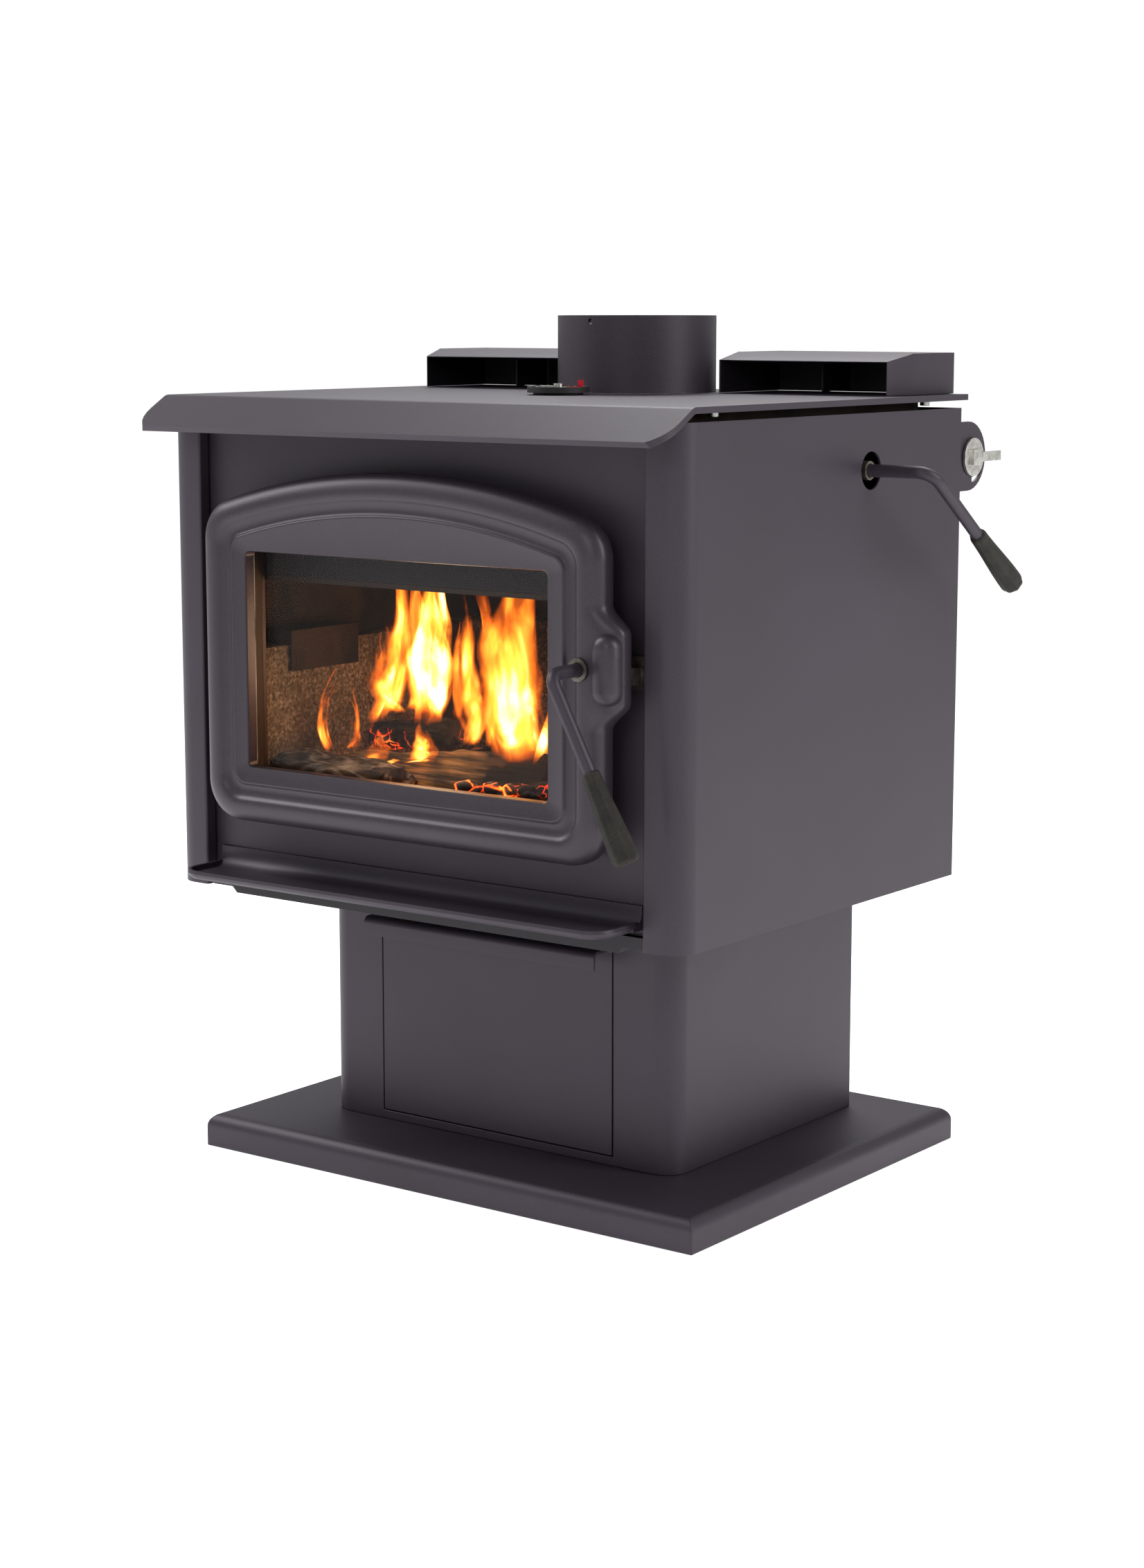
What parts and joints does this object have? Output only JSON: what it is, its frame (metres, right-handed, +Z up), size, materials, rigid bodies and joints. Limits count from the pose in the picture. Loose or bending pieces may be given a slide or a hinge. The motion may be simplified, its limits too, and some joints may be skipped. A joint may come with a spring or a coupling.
{
  "type": "wood burning stove",
  "caption": "Freestanding wood burning stove on a pedestal base, with a windowed side-hinged door, ash drawer, bypass lever, thermostat and flue collar.",
  "frame": {"origin": "centre of the base's underside, on the floor", "axes": "+Z up, the door faces -Y, +X to the right as seen from the front"},
  "size_m": [0.7303, 0.678, 0.8813],
  "materials": {
    "stove_paint": "matte metallic charcoal high-temperature paint",
    "cast_paint": "cast iron under satin charcoal paint",
    "black_paint": "matte black paint",
    "burnt_steel": "plate steel darkened by fire",
    "bare_steel": "bare dull steel",
    "galvanised_steel": "galvanised sheet",
    "bright_steel": "bright nickel-plated steel",
    "firebrick": "rough speckled refractory brick",
    "combustor_ceramic": "porous honeycomb ceramic",
    "door_glass": "clear ceramic glass with a brown cast",
    "rope": "braided glass-fibre rope",
    "grip": "fine-textured phenolic moulding"
  },
  "bodies": {
    "stove": {"base_cover": "stove_paint", "pedestal_shell": "stove_paint", "pedestal_back_panel": "stove_paint", "side_shield_left": "stove_paint", "side_shield_right": "stove_paint", "rear_shield": "stove_paint", "under_shield": "stove_paint", "front_panel": "stove_paint", "door_seat_ring": "stove_paint", "air_wash_manifold": "stove_paint", "stove_top": "stove_paint", "flue_collar": "stove_paint", "fan_hood_left": "stove_paint", "fan_hood_right": "stove_paint", "hinge_bracket_lower": "stove_paint", "hinge_bracket_upper": "stove_paint", "thermostat_bracket": "stove_paint", "thermostat_housing": "stove_paint", "ash_lip": "stove_paint", "base_floor_plate": "black_paint", "thermometer_case": "black_paint", "firebox_shell": "burnt_steel", "brick_clip_left": "burnt_steel", "brick_clip_right": "burnt_steel", "smoke_baffle": "burnt_steel", "flame_shield": "burnt_steel", "latch_catch": "bare_steel", "bypass_bushing": "bare_steel", "drawer_rail_left": "galvanised_steel", "drawer_rail_right": "galvanised_steel", "side_brick_left_front": "firebrick", "side_brick_left_rear": "firebrick", "side_brick_right_front": "firebrick", "side_brick_right_rear": "firebrick", "back_bricks": "firebrick", "floor_bricks_left": "firebrick", "floor_bricks_right": "firebrick", "combustor": "combustor_ceramic"},
    "door": {"door_frame": "cast_paint", "door_glass": "door_glass", "glass_gasket": "rope", "door_seal": "rope", "glass_clip_upper": "bare_steel", "glass_clip_lower": "bare_steel", "hinge_pin_upper": "bare_steel", "hinge_pin_lower": "bare_steel", "latch_bushing": "stove_paint"},
    "latch": {"latch_rod": "stove_paint", "latch_grip": "grip", "latch_hook": "bare_steel"},
    "bypass": {"bypass_rod": "stove_paint", "bypass_grip": "grip", "bypass_plate": "burnt_steel"},
    "thermostat": {"thermostat_knob": "bright_steel", "thermostat_coil": "bare_steel"},
    "air_flap": {"air_flap": "galvanised_steel"},
    "needle": {"thermometer_needle": "bright_steel"},
    "drawer": {"ash_drawer_pan": "galvanised_steel", "ash_drawer_front": "stove_paint"},
    "plug": {"ash_plug": "burnt_steel"}
  },
  "joints": [
    {"name": "door_hinge", "type": "hinge", "parent": "stove", "child": "door", "pos_m": [-0.257, -0.279, 0.53], "axis": [0, 0, -1], "range_deg": [0, 100]},
    {"name": "latch_turn", "type": "hinge", "parent": "door", "child": "latch", "pos_m": [0.228, -0.3, 0.5605], "axis": [0, -1, 0], "range_deg": [-28, 62]},
    {"name": "bypass_turn", "type": "hinge", "parent": "stove", "child": "bypass", "pos_m": [0.3, 0.0485, 0.7302], "axis": [1, 0, 0], "range_deg": [0, 50]},
    {"name": "thermostat_turn", "type": "hinge", "parent": "stove", "child": "thermostat", "pos_m": [0.3, 0.256, 0.7352], "axis": [1, 0, 0], "range_deg": [-45, 45]},
    {"name": "air_flap_turn", "type": "hinge", "parent": "stove", "child": "air_flap", "pos_m": [0.22, 0.2333, 0.6957], "axis": [1, 0, 0], "range_deg": [-18.1, 18.1]},
    {"name": "needle_turn", "type": "hinge", "parent": "stove", "child": "needle", "pos_m": [0, -0.0394, 0.809], "axis": [0, 0, 1], "range_deg": [-120, 60]},
    {"name": "drawer_slide", "type": "slide", "parent": "stove", "child": "drawer", "axis": [0, -1, 0], "range_m": [0, 0.28]},
    {"name": "plug_lift", "type": "slide", "parent": "stove", "child": "plug", "axis": [0, 0, 1], "range_m": [0, 0.1]}
  ],
  "couplings": [
    {"joint": "air_flap_turn", "follows": "thermostat_turn", "ratio": 0.4}
  ]
}
